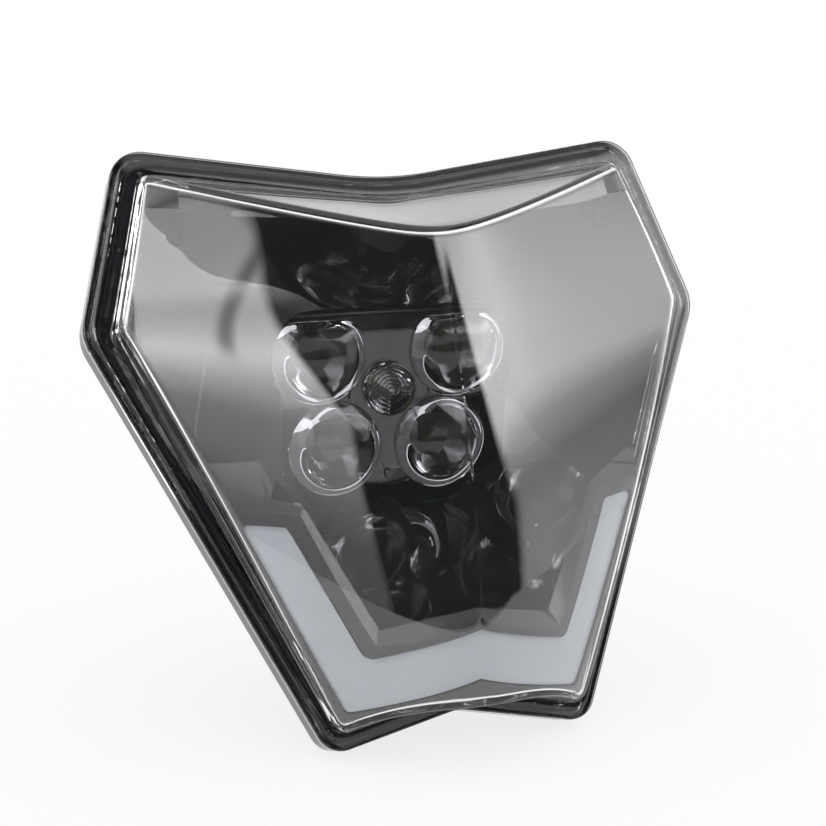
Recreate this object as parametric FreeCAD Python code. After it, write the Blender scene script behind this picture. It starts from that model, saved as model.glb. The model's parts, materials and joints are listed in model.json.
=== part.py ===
"""LED headlight of an off-road motorcycle: a clear dome lens sealed on a black housing, with a gloss black
bezel, four collimator lenses, a position light, a daytime light strip, boards and a finned heat sink.

Millimetres. Every piece is drawn about the optical axis, where it crosses the plane of the raked rim:
x across, y to the rear, z up. When it is written it moves to the origin, the hole of the aiming lug."""
import FreeCAD, Part
import math
import os

Vec = FreeCAD.Vector

# Driving dimensions: the rim, in its own raked plane (x across, s up the plane)
rim_rake = 24.6
rim_top_middle = (0.0, 73.0, 100.0)
rim_top_corner = (84.0, 85.3, 10.0)
rim_side_corner = (100.0, 28.0, 14.0)
rim_bottom_corner = (41.0, -101.3, 8.0)
rim_notch = (0.0, -92.5, 12.0)

# Lens: wall, flange and the face over it
lens_wall = 2.4
lens_side_wall = 1.9
flange_thick = 3.0
flange_step_inset = 2.3
flange_step_high = 1.0
dome_top_middle = (0.0, 66.3, 106.0)
dome_top_corner = (78.2, 77.0, 5.0)
dome_side_corner = (91.6, 27.0, 9.0)
dome_bottom_corner = (38.9, -96.2, 5.0)
dome_notch = (0.0, -86.0, 10.0)
dome_ledge_high = 6.2
dome_ledge = 0.5
dome_reach = 52.0
dome_draft = 4.0
chin_drop = 22.0
face_stretch = 1.15
keel_brow_y = -19.1
keel_fall = 64.2
keel_curve = 25.0
keel_round = 12.0
keel_top_z = 57.0
keel_length = 115.0
wing_slope = 0.486
wing_slope_rise = 0.1145
wing_bow = (-0.00019, -0.0022, 0.00195)
wing_bow_span = 70.0
brow_z = 57.6
brow_rise = 0.1154
brow_round = 10.0
brow_fall = 0.114
brow_datum_y = -16.3

# Weld joint between lens and housing
tongue_inset = 2.9
tongue_wide = 2.0
tongue_deep = 3.5
trough_play = 0.6
trough_deep = 5.0

# Housing
shell_wall = 2.4
rim_inset = 0.3
rim_deep = 7.0
rim_band = 8.0
skirt_inset = 1.4
rear_y = 48.0
rear_top_middle = (0.0, 50.0, 30.0)
rear_top_corner = (60.0, 55.0, 12.0)
rear_side_corner = (70.0, 24.0, 14.0)
rear_bottom_corner = (31.0, -72.0, 9.0)
rear_notch = (0.0, -67.0, 20.0)

# Bezel
bezel_wall = 2.0
bezel_gap = 0.6
bezel_back_y = 22.5
opening_half = 37.0
wing_fall = 0.36
wing_lean = 0.12
wing_curl = 0.0055
wing_level_z = 20.0
ceiling_foot_z = 27.0
ceiling_slope = 1.155
ceiling_spread = 0.6
ceiling_round = 18.0
facet_slope = 0.62
facet_lean = 0.0436
facet_top_z = -2.0
bezel_screw = (68.9, 52.2)
bezel_pad_y = 25.4
bezel_rear_y = 33.0
opening_top = (33.0, 26.0, 12.0)
opening_side = (42.0, 13.0, 13.0)
opening_waist = (37.0, -4.0, 4.0)
opening_hip = (36.9, -25.0, 3.0)
opening_low = (20.0, -42.5, 4.0)
opening_tip = (0.0, -36.0, 6.0)

# Frame of the light strip: planes as (height at the middle, rise to each side, slope to the rear)
tray_wall = (-35.5, -0.32, 0.17)
tray_bevel = (10.9, -0.535, 0.8)
leg_wall = (-93.5, 1.78, 0.1145)
leg_bevel = (13.7, 0.86, 1.417)
leg_shoulder = (-67.6, 1.075, 0.007)
leg_top = (-23.3, 0.14, 0.064)
leg_top_bevel = (21.0, -0.293, 0.557)

# Daytime light strip, as seen from the front (x, z)
strip_outer_top = (61.8, -25.8, 1.5)
strip_inner_top = (49.3, -26.0, 1.5)
strip_inner_bottom = (30.5, -63.1, 3.0)
strip_middle_top = (0.0, -53.8, 1.0)
strip_outer_bottom = (35.5, -79.5, 2.0)
strip_middle_bottom = (0.0, -68.1, 1.0)
strip_depth = 1.2
strip_cap = 2.0
strip_tall = 8.0
strip_play = 0.3
strip_lip = 1.2
strip_lip_thick = 1.5
strip_tab_half = 24.0
strip_tab_long = 18.0
strip_tab_inset = 2.0
strip_tab_share = 0.7
strip_board_thick = 1.2
board_clear = 0.1
strip_screws = ((42.5, -52.0), (52.0, -34.0))
strip_led_size = 2.8
strip_led_high = 0.8
strip_led_steps = 5
led_corner = 0.3

# Optic: four collimators, a central ring lens and the plate that joins them
upper_lens = (23.0, 11.4)
lower_lens = (17.8, -18.7)
lens_rim_y = 26.0
lens_radius = 15.4
lens_dome_high = 6.0
lens_foot_radius = 5.2
lens_flat_z = 22.5
bowl_radius_share = 0.82
bowl_depth_share = 0.3
led_pocket_radius = 3.4
led_pocket_deep = 4.0
plate_thick = 2.5
ring_radius = 8.6
ring_front_y = 23.6
ring_count = 3
plate_top_z = 19.0
plate_low_z = -27.9
plate_margin = 4.0
plate_round = 8.0
arm_half = 43.0
arm_high = 9.0
arm_round = 4.0
optic_screw_x = 39.0
groove_deep = 0.7
groove_wide = 0.8
rib_count = 4
rib_pitch = 5.0
rib_half = 0.4
rib_reach = 2.6
rib_high = 0.8
pin_drop = -28.0

# Light source board and heat sink
board_thick = 1.6
board_face_y = 39.4
board_inset = 10.5
led_size = 3.6
led_high = 0.8
pad_thick = 0.5
gasket_thick = 0.8
sink_top_z = 32.0
sink_shoulder = (56.0, 6.0)
sink_hip = (56.0, 5.0, 10.0)
sink_foot = (38.0, -40.0, 6.0)
sink_plate_thick = 4.0
sink_margin = 9.0
pedestal_play = 0.8
fin_count = 13
fin_thick = 1.8
fin_high = 15.0
fin_inset = 4.0
fin_gap_from_edge = 5.0
sink_screw_inset = 6.0
sink_screw_clear = 1.2

# Fasteners
small_shank = 1.5
small_head = 2.9
small_head_high = 1.8
large_shank = 2.0
large_head = 3.6
large_head_high = 2.4
boss_wall = 2.2
small_screw_long = 8.0
sink_boss_long = 10.0
head_dome_share = 0.35
head_crown_share = 0.7
socket_share = 0.5
socket_depth_share = 0.4
screw_room = 0.4
board_screw_bite = 4.5
sink_screw_bite = 9.0
optic_screw_bite = 5.0

# Driver board, under the tray
driver_wide = 56.0
driver_tall = 23.0
driver_z = -54.0
driver_corner = 1.5
driver_post = 5.0
driver_margin = 3.2
coil_x = -10.5
coil_side = 12.0
coil_high = 5.0
coil_groove = 5.2
coil_core = 3.6
coil_groove_deep = 1.0
can_x = 3.2
can_step = 8.2
can_radius = 3.5
can_high = 8.0
chip_x = 20.5
chip_side = 4.5
chip_high = 1.6
resistor_x = -2.6
resistor_count = 4
resistor_step = 3.4
resistor_drop = 1.0
resistor_side = 1.6
header_up = 9.0
header_wide = 14.0
header_tall = 4.0
header_high = 7.0
header_wall = 0.8
header_pitch = 2.5
header_pins = 4

# Mounts
aim_y = 34.0
aim_z = -84.0
aim_length = 12.0
aim_bore = 3.2
aim_sleeve_wall = 1.2
aim_lug_wall = 4.0
pivot_y = 39.0
pivot_z = 22.0
pivot_end_x = 92.0
pivot_insert_radius = 4.2
pivot_bore = 2.5
pivot_length = 10.0
pivot_boss_radius = 8.0
pivot_boss_long = 18.0
gland_x = 43.0
gland_z = 43.0
gland_hole = 6.5
gland_bore = 3.0
gland_lip = 2.4
gland_nose = 9.0
gland_nose_wall = 1.6
vent_radius = 4.5
vent_flange = 2.5
vent_high = 4.0
vent_slot = 1.0

# Working space, larger than the lamp, and how far a cutting shape runs past its work
FAR = 130.0
PAST = 1.0
least_round = 0.6

# Grid of the curved heights: its top, bottom and half width, and how closely it crowds to the middle
grid_top = 105.0
grid_bottom = -123.5
grid_half = 117.0
grid_crowd = 0.65


def rim_place(shape):
    """Leans a shape drawn flat (x, s, height) back into the rim's plane, its height pointing forwards."""
    return shape.rotated(Vec(0, 0, 0), Vec(1, 0, 0), 90.0 - rim_rake)


def front_place(shape):
    """Stands a shape drawn flat (x, z, height) upright, its height pointing forwards."""
    return shape.rotated(Vec(0, 0, 0), Vec(1, 0, 0), 90.0)


def mirrored(half):
    """Closes the right-hand half of an outline, given from the top round to the bottom."""
    return list(half) + [(-x, s, r) for x, s, r in reversed(half) if x > 0]


def inset(corners, distance):
    """Moves every side of an outline inwards and matches its corner radii."""
    count = len(corners)
    area = sum(corners[i - 1][0] * corners[i][1] - corners[i][0] * corners[i - 1][1] for i in range(count))
    turn = 1.0 if area > 0 else -1.0
    moved = []
    for i in range(count):
        x0, s0, _ = corners[i - 1]
        x1, s1, radius = corners[i]
        x2, s2, _ = corners[(i + 1) % count]
        ax, ay = x1 - x0, s1 - s0
        bx, by = x2 - x1, s2 - s1
        a_long = math.hypot(ax, ay)
        b_long = math.hypot(bx, by)
        nax, nay = -ay / a_long * turn, ax / a_long * turn
        nbx, nby = -by / b_long * turn, bx / b_long * turn
        cross = (ax * by - ay * bx) / (a_long * b_long)
        lean = 1.0 + nax * nbx + nay * nby
        mx = (nax + nbx) / lean
        my = (nay + nby) / lean
        convex = cross * turn > 0
        new_radius = radius - distance if convex else radius + distance
        moved.append((x1 + mx * distance, s1 + my * distance, max(new_radius, least_round)))
    return moved


def outline(corners, height=0.0):
    """A closed wire of straight sides joined by tangent arcs."""
    count = len(corners)
    arcs = []
    for i in range(count):
        here = Vec(corners[i][0], corners[i][1], height)
        before = Vec(corners[i - 1][0], corners[i - 1][1], height) - here
        after = Vec(corners[(i + 1) % count][0], corners[(i + 1) % count][1], height) - here
        before.normalize()
        after.normalize()
        half_angle = before.getAngle(after) / 2.0
        radius = corners[i][2]
        reach = radius / math.tan(half_angle)
        middle = before + after
        middle.normalize()
        arcs.append((here + before * reach, here + middle * (radius / math.sin(half_angle) - radius),
                     here + after * reach))
    edges = []
    for i in range(count):
        start, middle, end = arcs[i]
        edges.append(Part.Arc(start, middle, end).toShape())
        edges.append(Part.makeLine(end, arcs[(i + 1) % count][0]))
    return Part.Wire(edges)


def round_rect(wide, tall, radius, middle_z=0.0):
    """A rectangle with rounded corners, as an outline."""
    half_x = wide / 2.0
    half_z = tall / 2.0
    return mirrored([(half_x, middle_z + half_z, radius), (half_x, middle_z - half_z, radius)])


def slab(corners, low, high, place):
    """A plate of an outline between two heights."""
    face = Part.Face(outline(corners, low))
    return place(face.extrude(Vec(0, 0, high - low)))


def taper(low_corners, low, high_corners, high, place):
    """A ruled solid from one outline to another."""
    return place(Part.makeLoft([outline(low_corners, low), outline(high_corners, high)], True, True))


def box(x0, x1, y0, y1, z0, z1):
    return Part.makeBox(x1 - x0, y1 - y0, z1 - z0, Vec(x0, y0, z0))


def rod(radius, start, end):
    """A cylinder between two points."""
    along = end - start
    return Part.makeCylinder(radius, along.Length, start, along)


def fused(shapes):
    whole = shapes[0]
    for shape in shapes[1:]:
        whole = whole.fuse(shape)
    return whole.removeSplitter()


def hyperbola(x, rounding):
    """A V whose point is rounded off."""
    return math.sqrt(x * x + rounding * rounding) - rounding


def height_solid(height, shift, depth, across=17, up=7):
    """The space behind (depth over 0) or in front of a surface y = height(x, z)."""
    rows = []
    for j in range(up):
        z = grid_bottom + (grid_top - grid_bottom) * j / (up - 1)
        row = []
        for i in range(across):
            u = -1.0 + 2.0 * i / (across - 1)
            x = grid_half * ((1.0 - grid_crowd) * u + grid_crowd * u ** 3)
            row.append(Vec(x, height(x, z) + shift, z))
        rows.append(row)
    surface = Part.BSplineSurface()
    surface.interpolate(rows)
    return surface.toShape().extrude(Vec(0, depth, 0))


def face_height(x, z):
    """The lens face: two nearly flat wings that meet in a rounded keel."""
    fall = (z - keel_top_z) / keel_length
    keel = keel_brow_y + keel_fall * fall + keel_curve * fall * fall
    level = z / wing_bow_span
    slope = wing_slope + wing_slope_rise * level
    bow = wing_bow[0] + wing_bow[1] * level + wing_bow[2] * level * level
    return keel + slope * hyperbola(x, keel_round) + bow * x * x


def under_brow(drop):
    """The space under the brow, a shelf that follows a shallow V and slopes down to the front."""
    places = [-grid_half + 2.0 * grid_half * i / 16 for i in range(17)]
    foot = brow_z - drop - brow_fall * (FAR + brow_datum_y)
    points = [Vec(x, -FAR, foot + brow_rise * hyperbola(x, brow_round)) for x in places]
    face = curve_face(points, [Vec(points[-1].x, -FAR, -2 * FAR), Vec(points[0].x, -FAR, -2 * FAR)])
    return face.extrude(Vec(0, 2 * FAR, 2 * FAR * brow_fall))


rim_outline = mirrored([rim_top_middle, rim_top_corner, rim_side_corner, rim_bottom_corner, rim_notch])
dome_outline = mirrored([dome_top_middle, dome_top_corner, dome_side_corner, dome_bottom_corner, dome_notch])
rear_outline = mirrored([rear_top_middle, rear_top_corner, rear_side_corner, rear_bottom_corner, rear_notch])
strip_outline = mirrored([strip_middle_top, strip_inner_bottom, strip_inner_top, strip_outer_top,
                          strip_outer_bottom, strip_middle_bottom])
opening_outline = mirrored([opening_top, opening_side, opening_waist, opening_hip,
                            opening_low, opening_tip])
sink_outline = mirrored([(sink_shoulder[0], sink_top_z, sink_shoulder[1]), sink_hip, sink_foot])

# Heights in the rim's plane and depths along y that several pieces share
flange_back = -flange_thick
rim_back = flange_back - rim_deep
bezel_side = lens_side_wall + dome_ledge + bezel_gap
bezel_front = lens_wall + bezel_gap
strip_front = bezel_front * face_stretch + strip_depth
strip_back = strip_front + strip_tall
pad_face_y = board_face_y + board_thick
pedestal_face_y = pad_face_y + pad_thick
wall_inner_y = rear_y - shell_wall
sink_face_y = rear_y + gasket_thick
sink_back_y = sink_face_y + sink_plate_thick


def dome_space(side, front, low=0.0):
    """The dome's volume with its walls moved inwards by one distance and its face and brow by another."""
    foot = inset(dome_outline, side)
    crown = inset(dome_outline, side + dome_draft)
    notch = len(crown) // 2
    crown[notch] = (0.0, crown[notch][1] - chin_drop, crown[notch][2])
    body = taper(foot, 0.0, crown, dome_reach, rim_place)
    if low < 0:
        body = body.fuse(slab(foot, low, 0.0, rim_place))
    body = body.common(height_solid(face_height, front * face_stretch, 2 * FAR))
    return body.common(under_brow(front))


def ring(corners, outer_inset, inner_inset, low, high):
    """A band of constant width round an outline in the rim's plane."""
    outer = slab(inset(corners, outer_inset), low, high, rim_place)
    return outer.cut(slab(inset(corners, inner_inset), low - PAST, high + PAST, rim_place))


def tongue():
    inner = tongue_inset + tongue_wide
    return ring(rim_outline, tongue_inset, inner, flange_back - tongue_deep, flange_back)


def outer_lens():
    """Clear dome with a ledge round its foot, a stepped flange and the tongue that sits in the seal."""
    lower = dome_space(0.0, 0.0).common(slab(rim_outline, 0.0, dome_ledge_high, rim_place))
    upper = dome_space(dome_ledge, 0.0)
    flange = slab(rim_outline, flange_back, 0.0, rim_place)
    step = slab(inset(rim_outline, flange_step_inset), 0.0, flange_step_high, rim_place)
    inside = dome_space(lens_side_wall + dome_ledge, lens_wall, flange_back - PAST)
    return fused([lower.fuse([upper, flange, step]).cut(inside), tongue()])


def trough():
    inner = tongue_inset + tongue_wide + trough_play
    return ring(rim_outline, tongue_inset - trough_play, inner, flange_back - trough_deep, flange_back)


def lens_seal():
    """Bead of sealant that fills the trough round the lens's tongue."""
    return trough().cut(tongue())


def housing_loft(inwards, end_y):
    """The tapering body of the housing, from the raked rim back to its upright rear wall."""
    rim_wire = rim_place(outline(inset(rim_outline, skirt_inset + inwards), rim_back))
    rear_wire = front_place(outline(inset(rear_outline, inwards), -end_y))
    return Part.makeLoft([rim_wire, rear_wire], True, True)


def along_y(radius, x, z, start, end):
    return rod(radius, Vec(x, start, z), Vec(x, end, z))


def along_x(radius, y, z, start, end):
    return rod(radius, Vec(start, y, z), Vec(end, y, z))


sink_screws_at = [(x, z) for x, z, radius in inset(sink_outline, sink_screw_inset)
                  if abs(z - sink_hip[1]) > sink_margin]
driver_reach_x = driver_wide / 2.0 - driver_margin
driver_reach_z = driver_tall / 2.0 - driver_margin
driver_screws_at = [(a * driver_reach_x, driver_z + b * driver_reach_z) for a in (-1, 1) for b in (-1, 1)]
bezel_screws_at = [(-bezel_screw[0], bezel_screw[1]), bezel_screw]
strip_screws_at = [(a * x, z) for a in (-1, 1) for x, z in strip_screws]


def strip_band(corners, front, back):
    """The part of an upright prism that lies between two depths behind the lens face."""
    body = slab(corners, -FAR, FAR, front_place)
    body = body.common(height_solid(face_height, front, 2 * FAR))
    return body.cut(height_solid(face_height, back, 2 * FAR))


def inside_dome(shape):
    """Keeps a piece of the light strip clear of the lens's side walls."""
    return shape.common(dome_space(bezel_side + strip_play, bezel_front, rim_back))


def rear_housing():
    """Black moulded shell: a rim with the seal's trough, a tapering body, a rear wall and its bosses."""
    outer = housing_loft(0.0, rear_y)
    inner = housing_loft(shell_wall, wall_inner_y)
    rim = slab(inset(rim_outline, rim_inset), rim_back, flange_back, rim_place)
    lug_half = aim_bore + aim_sleeve_wall + aim_lug_wall
    lug_front = aim_y - aim_length / 2.0
    lug_back = aim_y + aim_length / 2.0
    lug = box(-lug_half, lug_half, lug_front, lug_back, aim_z, rear_notch[1])
    lug = lug.fuse(along_y(lug_half, 0.0, aim_z, lug_front, lug_back))
    shell = fused([outer, rim, lug]).cut(inner)
    shell = shell.cut(slab(inset(rim_outline, rim_band), rim_back - PAST, PAST, rim_place))
    large_boss = large_shank + boss_wall
    small_boss = small_shank + boss_wall
    sink_boss_y = wall_inner_y - sink_boss_long
    post_y = wall_inner_y - driver_post
    bosses = [along_y(large_boss, x, z, sink_boss_y, wall_inner_y) for x, z in sink_screws_at]
    bosses += [along_y(small_boss, x, z, post_y, wall_inner_y) for x, z in driver_screws_at]
    bosses += [along_y(small_boss, x, z, bezel_pad_y, FAR) for x, z in bezel_screws_at]
    bosses += [along_y(small_boss, x, z, -FAR, FAR) for x, z in strip_screws_at]
    bosses += [along_y(gland_hole + boss_wall, gland_x, gland_z, wall_inner_y - boss_wall, rear_y)]
    behind_strip = height_solid(face_height, strip_back + strip_board_thick, 2 * FAR)
    room = outer.fuse(slab(inset(rim_outline, rim_band), rim_back, FAR, rim_place)).common(behind_strip)
    bosses = [boss.common(room) for boss in bosses]
    pivot_foot_x = pivot_end_x - pivot_boss_long
    pivots = [along_x(pivot_boss_radius, pivot_y, pivot_z, a * pivot_end_x, a * pivot_foot_x)
              for a in (-1, 1)]
    shell = fused([shell] + bosses + pivots)
    holes = [slab(inset(sink_outline, sink_margin), -FAR, FAR, front_place).common(
        box(-FAR, FAR, wall_inner_y - PAST, rear_y + PAST, -FAR, FAR))]
    holes += [along_y(large_shank, x, z, sink_boss_y, FAR) for x, z in sink_screws_at]
    holes += [along_y(small_shank, x, z, 0.0, wall_inner_y) for x, z in driver_screws_at]
    holes += [along_y(small_shank, x, z, 0.0, bezel_pad_y + small_screw_long) for x, z in bezel_screws_at]
    holes += [along_y(small_shank, x, z, -FAR, face_height(x, z) + strip_back + small_screw_long)
              for x, z in strip_screws_at]
    holes += [along_y(gland_hole, gland_x, gland_z, 0.0, FAR)]
    holes += [along_y(vent_radius, -gland_x, gland_z, 0.0, FAR)]
    holes += [along_y(aim_bore + aim_sleeve_wall, 0.0, aim_z, 0.0, FAR)]
    holes += [along_x(pivot_insert_radius, pivot_y, pivot_z, a * (pivot_end_x - pivot_length), a * FAR)
              for a in (-1, 1)]
    holes += [trough()]
    return shell.cut(holes)


def wing_height(x, z):
    """The bezel's wings: slanting in to the opening, and curling back to the upper corners."""
    rise = z - wing_level_z
    curl = wing_curl * max(rise, 0.0) ** 2
    return bezel_back_y - wing_fall * (abs(x) - opening_half) + wing_lean * rise + curl


def curve_face(points, corners):
    """A flat face bounded by a smooth curve through points and by straight lines through corners."""
    curve = Part.BSplineCurve()
    curve.interpolate(points)
    ends = [points[-1]] + corners + [points[0]]
    lines = [Part.makeLine(ends[i], ends[i + 1]) for i in range(len(ends) - 1)]
    return Part.Face(Part.Wire([curve.toShape()] + lines))


def before_wings(grow):
    """The space in front of the two wings, a curved profile swept out to each side."""
    heights = [-FAR + 2 * FAR * i / 16 for i in range(17)]
    shift = grow * math.hypot(1.0, wing_fall)
    points = [Vec(0, wing_height(0.0, z) + shift, z) for z in heights]
    face = curve_face(points, [Vec(0, -2 * FAR, FAR), Vec(0, -2 * FAR, -FAR)])
    right = face.extrude(Vec(FAR, -wing_fall * FAR, 0))
    return right.fuse(right.mirror(Vec(0, 0, 0), Vec(1, 0, 0)))


def below_ceiling(grow):
    """The space under the ceiling, a rounded V that rises to the front."""
    low_z = ceiling_foot_z - FAR
    back = bezel_back_y + ceiling_slope * FAR + grow * math.hypot(1.0, ceiling_slope)
    places = [-FAR + 2 * FAR * i / 24 for i in range(25)]
    points = [Vec(x, back + ceiling_spread * hyperbola(x, ceiling_round), low_z) for x in places]
    face = curve_face(points, [Vec(FAR, -FAR, low_z), Vec(-FAR, -FAR, low_z)])
    return face.extrude(Vec(0, -2 * FAR * ceiling_slope, 2 * FAR))


def before_facets(grow):
    """The space in front of the two narrow facets beside the opening, deeper than the wings next to it."""
    foot = wing_height(opening_half, facet_top_z) + facet_lean * (FAR + facet_top_z)
    middle = foot + facet_slope * opening_half + grow * math.hypot(1.0, facet_slope)
    end = middle - facet_slope * FAR
    points = [Vec(-FAR, end, -FAR), Vec(0, middle, -FAR), Vec(FAR, end, -FAR), Vec(FAR, -2 * FAR, -FAR),
              Vec(-FAR, -2 * FAR, -FAR)]
    return Part.Face(Part.makePolygon(points + points[:1])).extrude(Vec(0, -2 * FAR * facet_lean, 2 * FAR))


def above_ridge(plane, grow):
    """The space over a plane and its mirror image, which meet at the middle."""
    middle_z, side_rise, slope = plane
    reach = grid_half
    foot = middle_z - grow * math.sqrt(1.0 + side_rise ** 2 + slope ** 2) - slope * (FAR + bezel_back_y)
    side_foot = foot + side_rise * reach
    points = [Vec(-reach, -FAR, side_foot), Vec(0, -FAR, foot), Vec(reach, -FAR, side_foot),
              Vec(reach, -FAR, 2 * FAR), Vec(-reach, -FAR, 2 * FAR)]
    return Part.Face(Part.makePolygon(points + points[:1])).extrude(Vec(0, 2 * FAR, 2 * FAR * slope))


def funnel(grow):
    """The hollow in front of the bezel, grown by the bezel's wall for its back."""
    space = before_wings(grow).fuse(before_facets(grow)).common(below_ceiling(grow))
    for planes in ((tray_wall, tray_bevel), (leg_wall, leg_bevel, leg_shoulder, leg_top, leg_top_bevel)):
        ridges = [above_ridge(plane, grow) for plane in planes]
        space = space.common(ridges[0].fuse(ridges[1:]))
    return space


def inner_bezel():
    """Gloss black trim: wings, ceiling, facets and tray round the optic, and the frame of the light strip."""
    body = dome_space(bezel_side, bezel_front, flange_back)
    hollow = dome_space(bezel_side + bezel_wall, bezel_front + bezel_wall, flange_back - PAST)
    skin = body.cut(hollow)
    behind = slab(inset(rim_outline, rim_band + bezel_gap), -FAR, PAST, rim_place)
    behind = behind.common(slab(inset(dome_outline, bezel_side), -FAR, PAST, rim_place))
    behind = behind.common(box(-FAR, FAR, -FAR, bezel_rear_y, -FAR, FAR))
    funnel_wall = funnel(bezel_wall).common(body.fuse(behind))
    whole = fused([skin, funnel_wall])
    whole = whole.fuse([along_y(small_head + bezel_wall, x, z, wing_height(x, z), bezel_pad_y)
                        for x, z in bezel_screws_at])
    whole = whole.cut([funnel(0.0), slab(opening_outline, -FAR, FAR, front_place)])
    whole = whole.cut([slab(inset(strip_outline, -strip_play), -FAR, FAR, front_place)])
    whole = whole.cut([along_y(small_head + screw_room, x, z, -FAR, bezel_pad_y - bezel_wall)
                       for x, z in bezel_screws_at])
    return whole.cut([along_y(small_shank, x, z, -FAR, FAR) for x, z in bezel_screws_at]).removeSplitter()


def drl_diffuser():
    """Opal cover of the light strip: a cap with side walls, and three tabs that the bezel holds down."""
    cap = strip_band(strip_outline, strip_front, strip_back)
    cap = cap.cut(strip_band(inset(strip_outline, strip_cap), strip_front + strip_cap, strip_back + PAST))
    lip_front = (bezel_front + bezel_wall) * face_stretch + strip_play
    lip = strip_band(inset(strip_outline, -strip_lip), lip_front, lip_front + strip_lip_thick)
    lip = lip.cut(slab(inset(strip_outline, strip_cap / 2.0), -FAR, FAR, front_place))
    foot_high = strip_middle_top[1] - strip_middle_bottom[1]
    tab_reach = strip_tab_share * foot_high
    tabs = [box(-strip_tab_half, strip_tab_half, -FAR, FAR,
                strip_middle_top[1] - tab_reach, strip_middle_top[1] + tab_reach)]
    leg_top = strip_inner_top[1] - strip_tab_inset
    inner_x = strip_inner_top[0] + strip_lip
    outer_x = strip_inner_bottom[0]
    tabs += [box(min(a * inner_x, a * outer_x), max(a * inner_x, a * outer_x), -FAR, FAR,
                 leg_top - strip_tab_long, leg_top) for a in (-1, 1)]
    return inside_dome(fused([cap] + [lip.common(tab) for tab in tabs]))


def drl_board():
    """Circuit board that closes the back of the light strip's cover."""
    board = inside_dome(strip_band(strip_outline, strip_back, strip_back + strip_board_thick))
    return board.cut([along_y(small_shank, x, z, -FAR, FAR) for x, z in strip_screws_at])


def strip_led_places():
    """Evenly spaced places along the middle of the strip's two legs and its foot, clear of the screws."""
    top = ((strip_outer_top[0] + strip_inner_top[0]) / 2.0, (strip_outer_top[1] + strip_inner_top[1]) / 2.0)
    bend = ((strip_outer_bottom[0] + strip_inner_bottom[0]) / 2.0,
            (strip_outer_bottom[1] + strip_inner_bottom[1]) / 2.0)
    foot = (0.0, (strip_middle_top[1] + strip_middle_bottom[1]) / 2.0)
    places = []
    for i in range(strip_led_steps):
        share = (i + 0.5) / strip_led_steps
        places.append((top[0] + (bend[0] - top[0]) * share, top[1] + (bend[1] - top[1]) * share))
        places.append((bend[0] + (foot[0] - bend[0]) * share, bend[1] + (foot[1] - bend[1]) * share))
    apart = small_head + strip_led_size
    clear = [(x, z) for x, z in places if all(math.hypot(x - a, z - b) > apart for a, b in strip_screws_at)]
    return clear + [(-x, z) for x, z in clear]


def drl_leds():
    """Light emitters on the strip's board."""
    half = strip_led_size / 2.0
    leds = []
    for x, z in strip_led_places():
        square = [(x - half, z - half, led_corner), (x - half, z + half, led_corner),
                  (x + half, z + half, led_corner), (x + half, z - half, led_corner)]
        leds.append(strip_band(square, strip_back - strip_led_high, strip_back))
    return Part.makeCompound(leds)


def screw(shank, head, head_high, long, seat, towards):
    """Pan head screw with a hexagon socket: seat is under the head, towards is the way it is driven."""
    dome = head_high * head_dome_share
    outwards = towards * -1.0
    crown_seat = seat + outwards * (head_high - dome)
    head_solid = Part.makeCylinder(head, head_high - dome, seat, outwards)
    crown = Part.makeCone(head, head * head_crown_share, dome, crown_seat, outwards)
    shaft = Part.makeCylinder(shank, long, seat, towards)
    key = head * socket_share
    corners = [Vec(key * math.cos(i * math.pi / 3), key * math.sin(i * math.pi / 3), 0) for i in range(7)]
    socket = Part.Face(Part.makePolygon(corners)).extrude(Vec(0, 0, head_high))
    floor = seat + outwards * head_high * (1.0 - socket_depth_share)
    socket.Placement = FreeCAD.Placement(floor, FreeCAD.Rotation(Vec(0, 0, -1), towards))
    return fused([head_solid, crown, shaft]).cut(socket)


REARWARD = Vec(0, 1, 0)
FORWARD = Vec(0, -1, 0)


def small_screw(long, x, seat_y, z):
    return screw(small_shank, small_head, small_head_high, long, Vec(x, seat_y, z), REARWARD)


def bezel_screws():
    return Part.makeCompound([small_screw(small_screw_long, x, bezel_pad_y - bezel_wall, z)
                              for x, z in bezel_screws_at])


def strip_seat(x, z):
    """Where a flat screw head first meets the sloping board of the light strip."""
    turns = [i * math.pi / 4.0 for i in range(8)]
    rim = [face_height(x + small_head * math.cos(t), z + small_head * math.sin(t)) for t in turns]
    return min(rim) + strip_back - board_clear


def drl_board_screws():
    long = strip_board_thick + board_screw_bite
    return Part.makeCompound([small_screw(long, x, strip_seat(x, z), z) for x, z in strip_screws_at])


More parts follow.
